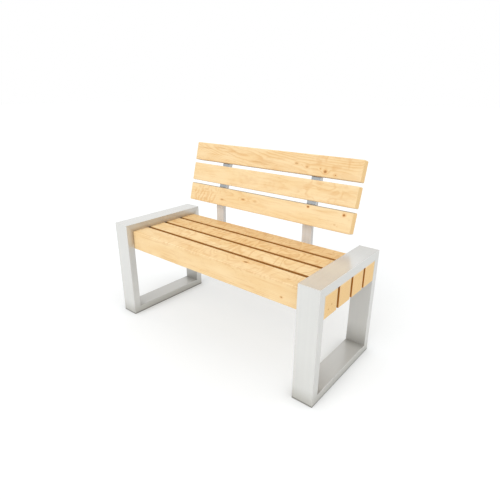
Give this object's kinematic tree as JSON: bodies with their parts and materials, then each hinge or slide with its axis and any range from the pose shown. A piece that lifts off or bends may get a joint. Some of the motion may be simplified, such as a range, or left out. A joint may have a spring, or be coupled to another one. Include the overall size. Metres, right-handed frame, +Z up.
{
  "type": "public bench",
  "caption": "Public bench with square timber seat beams running through closed box-section steel end frames, and a leaning slatted timber back on bent flat-bar supports.",
  "frame": {"origin": "floor level, in the middle of the four ground anchors, which is the middle of the end frames' footprint", "axes": "+X along the bench to the sitter's left, which is the viewer's right from the front, +Y to the back, +Z up"},
  "size_m": [1.2, 0.5626, 0.8714],
  "materials": {
    "frame_steel": "satin",
    "bar_steel": "satin",
    "timber": "planed and clear oiled",
    "fixings": "zinc plated"
  },
  "bodies": {
    "root": {"left_front_leg": "frame_steel", "left_top_rail": "frame_steel", "left_rear_leg": "frame_steel", "left_foot_rail": "frame_steel", "right_front_leg": "frame_steel", "right_top_rail": "frame_steel", "right_rear_leg": "frame_steel", "right_foot_rail": "frame_steel", "seat_beam_1": "timber", "seat_beam_2": "timber", "seat_beam_3": "timber", "seat_beam_4": "timber", "back_slat_1": "timber", "back_slat_2": "timber", "back_slat_3": "timber", "left_back_support": "bar_steel", "right_back_support": "bar_steel", "seat_bolts": "fixings", "seat_bolt_washers": "fixings", "top_rail_weld_nuts": "fixings", "support_screws": "fixings", "support_screw_washers": "fixings", "slat_screws": "fixings", "ground_anchor_nuts": "fixings"}
  },
  "joints": []
}
